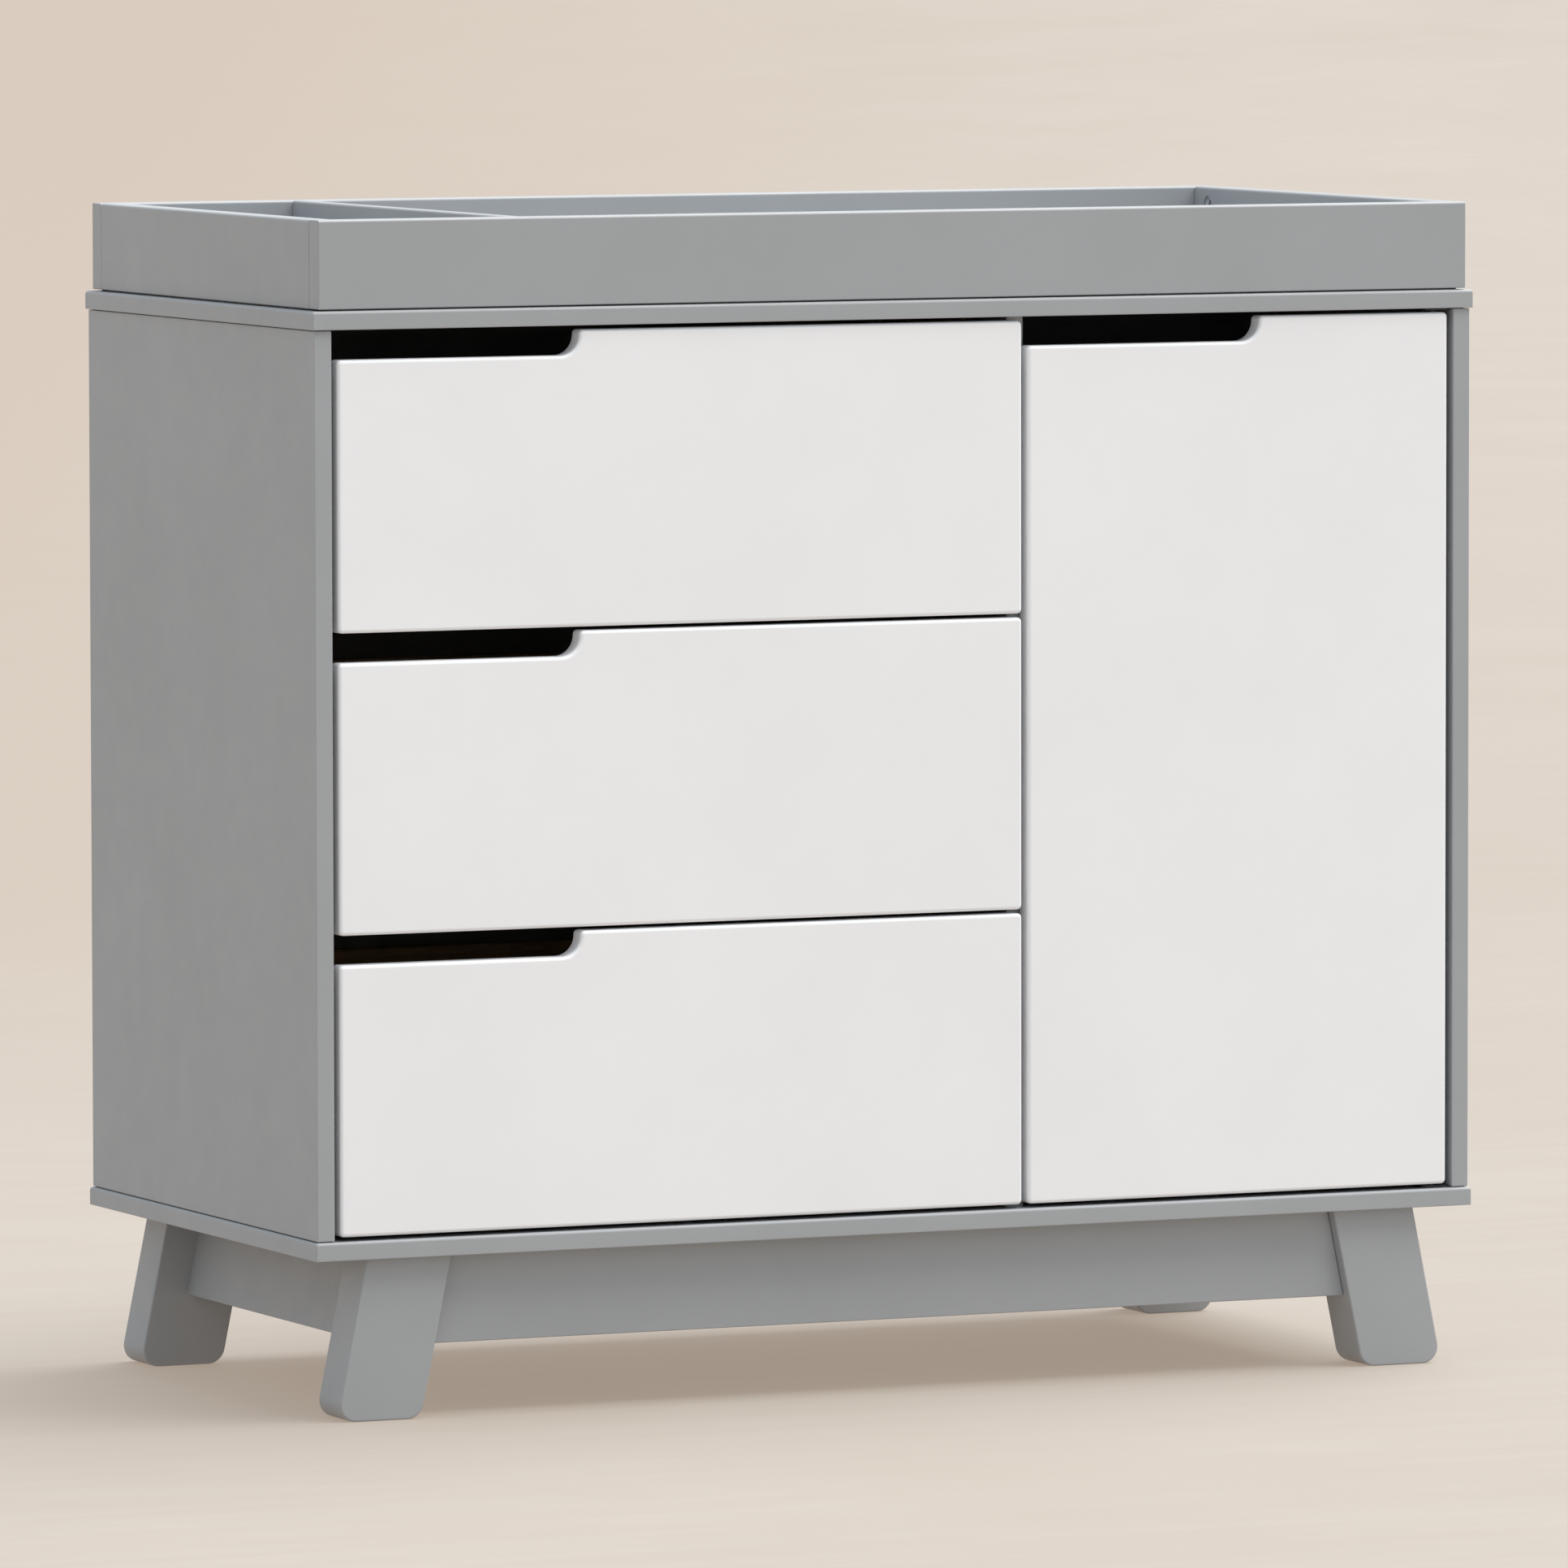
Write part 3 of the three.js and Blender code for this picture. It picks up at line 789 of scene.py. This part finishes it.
def makeScrewMesh():
    height = screwShape["height"]
    bm = startRod(screwShape["radius"], height, Vector((0, 0, height / 2)), segments=28)
    rim = [edge for edge in bm.edges if min(vert.co.z for vert in edge.verts) > height - nearly]
    roundEdges(bm, rim, screwShape["dome"], segments=5)
    piece = objectFrom(bm, "screw")
    cutCross(piece, screwShape["cross"], Vector((0, 0, height)))
    mesh = piece.data
    bpy.data.objects.remove(piece)
    return mesh


screwMesh = makeScrewMesh()


def addScrew(bm, place, facing, sink=0.0):
    screw = bmesh.new()
    screw.from_mesh(screwMesh)
    facing = Vector(facing)
    first, change = screwShape["turn"]
    spin = Matrix.Rotation(first + change * sum(place), 3, "Z")
    turn = facing.to_track_quat("Z", "Y").to_matrix() @ spin
    bmesh.ops.rotate(screw, matrix=turn, verts=screw.verts)
    bmesh.ops.translate(screw, vec=Vector(place) - facing * sink, verts=screw.verts)
    joinInto(bm, screw)


# ---- changing tray

trayEdges = {
    "long": (2.2 * mm, 0.8 * mm, 0.9 * mm),
    "end": (0.7 * mm, 2.2 * mm, 0.7 * mm),
    "divider": (0.5 * mm, 2.0 * mm, 0.5 * mm),
    "under": 0.8 * mm,
    "stands": 1.3 * mm,  # on thin strips, above the top of the table
    "joint": (0, 0.45 * mm, 0),  # joint line at each end of a board between the long ones
}
padShape = {
    "inset": (6 * mm, 3 * mm),  # from the ends and from the faces of a board
    "corner": 3 * mm,
}
camShape = {
    "pocketSlack": 0.3 * mm,
    "pocketDepth": 13 * mm,
    "rim": 0.5 * mm,
    "wall": 1.5 * mm,
    "dish": 1.3 * mm,
    "cross": (8.4 * mm, 2.4 * mm, 4.0 * mm),
}


def makeCam(end, side):
    node = f"tray_cam_{end}_{side}"
    low, high, middle = boxOf(node)
    radius = (high.z - low.z) / 2
    face = Vector((innerFace(node, side), middle.y, middle.z))
    bm = startRod(radius, high.x - low.x, middle, "x", segments=48)
    roundEdges(bm, edgesAcross(bm, "x"), camShape["rim"], segments=3)
    piece = objectFrom(bm, node + "_fitting")
    dish = camShape["dish"]
    cutOut(piece, [startRod(radius - camShape["wall"], 2 * dish, face, "x", segments=40)])
    cutCross(piece, camShape["cross"], face - Vector((inward[side] * dish, 0, 0)), "x")
    finishPiece(piece, node)


def makePads():
    # a thin strip under each outer board keeps the tray off the top
    pads = bmesh.new()
    fromEnd, fromFace = padShape["inset"]
    for node in ("tray_front", "tray_back", "tray_left", "tray_right"):
        low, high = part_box(node)
        lengthwise = high.x - low.x > high.y - low.y
        inset = Vector((fromEnd, fromFace, 0) if lengthwise else (fromFace, fromEnd, 0))
        top = Vector((high.x, high.y, low.z + trayEdges["stands"]))
        pad = startBoard(low + inset, top - inset)
        roundEdges(pad, edgesAlong(pad, "z"), padShape["corner"])
        joinInto(pads, pad)
    finishPiece(objectFrom(pads, "tray_pads"), "tray_front", slot="dark_plastic", stands=False)


def makeTray():
    under = {"under": trayEdges["under"], "lift": trayEdges["stands"]}
    for end in ends:
        makeBoard(f"tray_{end}", trayEdges["long"], **under)
    for side in sides:
        pockets = []
        for end in ends:
            low, high, middle = boxOf(f"tray_cam_{end}_{side}")
            radius = (high.z - low.z) / 2 + camShape["pocketSlack"]
            place = Vector((innerFace(f"tray_{side}", side), middle.y, middle.z))
            pocket = startRod(radius, 2 * camShape["pocketDepth"], place, "x", segments=40)
            pockets.append(pocket)
            makeCam(end, side)
        makeBoard(f"tray_{side}", trayEdges["end"], pockets, short=trayEdges["joint"], **under)
    makeBoard("tray_divider", trayEdges["divider"], short=trayEdges["joint"], **under)
    makePads()


makeTray()
print("tray made")


# ---- drawer boxes

boxEdges = {
    "side": (0.4 * mm, 1.5 * mm, 0.4 * mm),
    "back": (1.2 * mm, 0.3 * mm, 0.3 * mm),
    "bottom": (0.3 * mm, 0.3 * mm, 0.3 * mm),
    "shelf": (0.8 * mm, 0.8 * mm, 0.8 * mm),
    "grooveSlack": (0.4 * mm, 6 * mm, 0.25 * mm),
}


def makeDrawerBox(row):
    for side in sides:
        slot = grown(f"drawer_{row}_bottom", boxEdges["grooveSlack"])
        makeBoard(f"drawer_{row}_{side}_side", boxEdges["side"], [slot], sideGrain)
    makeBoard(f"drawer_{row}_back", boxEdges["back"])
    makeBoard(f"drawer_{row}_bottom", boxEdges["bottom"])


for row in rows:
    makeDrawerBox(row)
makeBoard("cupboard_shelf", boxEdges["shelf"])
print("drawer boxes and shelf made")


# ---- drawer runners

runnerShape = {
    "sheet": 1.2 * mm,
    "depth": 9.5 * mm,  # channel, out from the wall
    "lip": 4.5 * mm,
    "space": 13 * mm,  # wall to the drawer side
    "tip": 4 * mm,  # wall to the edge of the moving member
    "bend": (1.7 * mm, 0.5 * mm),  # outside and inside of a bend
    "ball": 2.4 * mm,
    "balls": 6,
    "ballStep": 14 * mm,
    "firstBall": 14 * mm,
    "cage": (0.9 * mm, 3.4 * mm),  # thickness and height of the strip that holds the balls
    "cageCorner": 1.2 * mm,
    "screws": (0.09, 0.5, 0.91),  # share of the length
}


def makeSheet(node, points, bends, wall, out, screwsAt, screwsLook):
    # points are (out from the wall, up from the middle); screwsAt is out from the wall too
    low, high, middle = boxOf(node)
    length = high.y - low.y
    corners = [(wall + out * x, middle.z + z) for x, z in points]
    bm = startOutline(corners, length, low.y)
    for radius, spots in zip(runnerShape["bend"], bends):
        for x, z in spots:
            roundEdges(bm, edgesAt(bm, wall + out * x, middle.z + z), radius, segments=5)
    for share in runnerShape["screws"]:
        place = (wall + out * screwsAt, low.y + share * length, middle.z)
        addScrew(bm, place, (screwsLook * out, 0, 0))
    finishPiece(objectFrom(bm, node + "_sheet"), node)


def makeChannel(row, side):
    node = f"runner_channel_{row}_{side}"
    low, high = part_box(node)
    wall = low.x if side == "left" else high.x
    half = (high.z - low.z) / 2
    sheet, depth, lip = (runnerShape[key] for key in ("sheet", "depth", "lip"))
    inner, mouth = half - sheet, depth - sheet
    points = [
        (0, -half), (depth, -half), (depth, -half + lip), (mouth, -half + lip),
        (mouth, -inner), (sheet, -inner), (sheet, inner), (mouth, inner),
        (mouth, half - lip), (depth, half - lip), (depth, half), (0, half),
    ]
    outside = [(0, -half), (depth, -half), (depth, half), (0, half)]
    inside = [(mouth, -inner), (sheet, -inner), (sheet, inner), (mouth, inner)]
    makeSheet(node, points, (outside, inside), wall, inward[side], sheet, 1)
    makeBalls(row, side, wall, inner)


def makeBalls(row, side, wall, inner):
    # the balls stay in the front of the channel, between it and the moving member
    node = f"runner_channel_{row}_{side}"
    low, high, middle = boxOf(node)
    slideLow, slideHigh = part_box(f"runner_slide_{row}_{side}")
    slideHalf = (slideHigh.z - slideLow.z) / 2
    between = (runnerShape["tip"] + runnerShape["depth"] - runnerShape["sheet"]) / 2
    x = wall + inward[side] * between
    thick, tall = runnerShape["cage"]
    first, step, count = (runnerShape[key] for key in ("firstBall", "ballStep", "balls"))
    reach = (count - 1) * step
    radius = runnerShape["ball"]
    bm = bmesh.new()
    for way in (-1, 1):
        height = middle.z + way * (slideHalf + inner) / 2
        strip = startBoard(
            Vector((x - thick / 2, low.y + first - step / 2, height - tall / 2)),
            Vector((x + thick / 2, low.y + first + reach + step / 2, height + tall / 2)),
        )
        roundEdges(strip, edgesAlong(strip, "x"), runnerShape["cageCorner"])
        joinInto(bm, strip)
        for place in range(count):
            ball = bmesh.new()
            bmesh.ops.create_uvsphere(ball, u_segments=18, v_segments=12, radius=radius)
            spot = Vector((x, low.y + first + place * step, height))
            bmesh.ops.translate(ball, vec=spot, verts=ball.verts)
            joinInto(bm, ball)
    finishPiece(objectFrom(bm, node + "_balls"), node, stands=False)


def makeSlide(row, side):
    node = f"runner_slide_{row}_{side}"
    low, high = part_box(node)
    wall = innerFace(node, side) - inward[side] * runnerShape["space"]
    half = (high.z - low.z) / 2
    sheet, space, tip = (runnerShape[key] for key in ("sheet", "space", "tip"))
    inner, web = half - sheet, space - sheet
    points = [
        (space, -half), (space, half), (tip, half), (tip, inner),
        (web, inner), (web, -inner), (tip, -inner), (tip, -half),
    ]
    bends = ([(space, -half), (space, half)], [(web, inner), (web, -inner)])
    makeSheet(node, points, bends, wall, inward[side], web, -1)


for row in rows:
    for side in sides:
        makeChannel(row, side)
        makeSlide(row, side)
print("runners made")


# ---- door fittings and shelf pins

pivotPlate = {
    "thickness": 2 * mm,
    "corner": 5 * mm,
    "ease": 0.3 * mm,
    "pinEase": 0.5 * mm,
    "screwsAt": ((0.28, 0.80), (0.74, 0.56)),  # share of the width and of the depth
    "sink": 1.1 * mm,
}
catchShape = {
    "ease": 1.2 * mm,
    "pole": (9 * mm, 1.2 * mm, 30 * mm),  # across both poles, thickness and height of each
    "poleDepth": 6 * mm,
    "poleEase": 0.2 * mm,
    "proud": 0.12 * mm,
    "screws": 12 * mm,  # above and below the middle
}
strikeShape = {"corner": 2.5 * mm, "ease": 0.25 * mm, "screws": 12 * mm, "sink": 1.42 * mm}
shelfPin = {"plug": 2.5 * mm, "collar": 0.8 * mm, "tongue": 2 * mm, "ease": 0.3 * mm}
backScrews = {"levels": (0.06, 0.35, 0.65, 0.94)}  # share of the height, into the centre panel


def makePivot(node):
    low, high, middle = boxOf(node)
    below = node.endswith("bottom")
    thick = pivotPlate["thickness"]
    plateLow = Vector((low.x, low.y, low.z if below else high.z - thick))
    plateHigh = Vector((high.x, high.y, low.z + thick if below else high.z))
    bm = startBoard(plateLow, plateHigh)
    free = [edge for edge in edgesAlong(bm, "z") if middleOf(edge).x < low.x + mm]
    roundEdges(bm, free, pivotPlate["corner"], segments=6)
    roundEdges(bm, edgesAcross(bm, "z"), pivotPlate["ease"], segments=2)
    pin = Vector((*doorPivot["pin"], middle.z))
    rod = startRod(doorPivot["pinRadius"], high.z - low.z, pin)
    roundEdges(rod, edgesAcross(rod, "z"), pivotPlate["pinEase"], segments=3)
    joinInto(bm, rod)
    face = plateHigh.z if below else plateLow.z
    for across, back in pivotPlate["screwsAt"]:
        place = (low.x + across * (high.x - low.x), low.y + back * (high.y - low.y), face)
        addScrew(bm, place, (0, 0, 1 if below else -1), pivotPlate["sink"])
    finishPiece(objectFrom(bm, node + "_plate"), node)


def makeCatch():
    low, high, middle = boxOf("door_catch")
    bm = startBoard(low, high)
    roundEdges(bm, list(bm.edges), catchShape["ease"])
    finishPiece(objectFrom(bm, "door_catch_body"), "door_catch")
    wide, thick, tall = catchShape["pole"]
    steel = bmesh.new()
    for x in (middle.x - wide / 2, middle.x + wide / 2 - thick):
        start = Vector((x, low.y - catchShape["proud"], middle.z - tall / 2))
        stop = Vector((x + thick, low.y + catchShape["poleDepth"], middle.z + tall / 2))
        joinInto(steel, startBoard(start, stop))
    roundEdges(steel, list(steel.edges), catchShape["poleEase"], segments=2)
    for way in (-1, 1):
        addScrew(steel, (high.x, middle.y, middle.z + way * catchShape["screws"]), (1, 0, 0))
    piece = objectFrom(steel, "door_catch_steel")
    finishPiece(piece, "door_catch", slot="zinc_steel", stands=False)


def makeStrike():
    low, high, middle = boxOf("catch_strike")
    bm = startBoard(low, high)
    roundEdges(bm, edgesAlong(bm, "y"), strikeShape["corner"], segments=5)
    roundEdges(bm, edgesAcross(bm, "y"), strikeShape["ease"], segments=2)
    for way in (-1, 1):
        place = (middle.x, high.y, middle.z + way * strikeShape["screws"])
        addScrew(bm, place, (0, 1, 0), strikeShape["sink"])
    finishPiece(objectFrom(bm, "catch_strike_plate"), "catch_strike")


def makeShelfPin(end, side):
    node = f"shelf_pin_{end}_{side}"
    low, high, middle = boxOf(node)
    face = innerFace(pinWall[side], side)
    tip = innerFace(node, side)
    plugEnd = low.x if side == "left" else high.x
    plugStop = face + inward[side] * shelfPin["collar"]
    spot = Vector(((plugEnd + plugStop) / 2, middle.y, middle.z))
    bm = startRod(shelfPin["plug"], abs(plugStop - plugEnd), spot, "x", segments=24)
    roundEdges(bm, edgesAcross(bm, "x"), shelfPin["ease"], segments=2)
    for reach, half in ((plugStop, (high.z - low.z) / 2), (tip, shelfPin["tongue"] / 2)):
        start = Vector((min(face, reach), low.y, middle.z - half))
        piece = startBoard(start, Vector((max(face, reach), high.y, middle.z + half)))
        roundEdges(piece, list(piece.edges), shelfPin["ease"], segments=3)
        joinInto(bm, piece)
    finishPiece(objectFrom(bm, node + "_metal"), node)


def makeBackScrews():
    low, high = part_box("back_panel")
    x = boxOf("centre_panel")[2].x
    bm = bmesh.new()
    for share in backScrews["levels"]:
        addScrew(bm, (x, high.y, low.z + share * (high.z - low.z)), (0, 1, 0))
    piece = objectFrom(bm, "back_screws")
    finishPiece(piece, "back_panel", slot="zinc_steel", stands=False)


for node in ("door_pivot_top", "door_pivot_bottom"):
    makePivot(node)
makeCatch()
makeStrike()
for end in ends:
    for side in sides:
        makeShelfPin(end, side)
makeBackScrews()
bpy.data.meshes.remove(screwMesh)
print("fittings made")
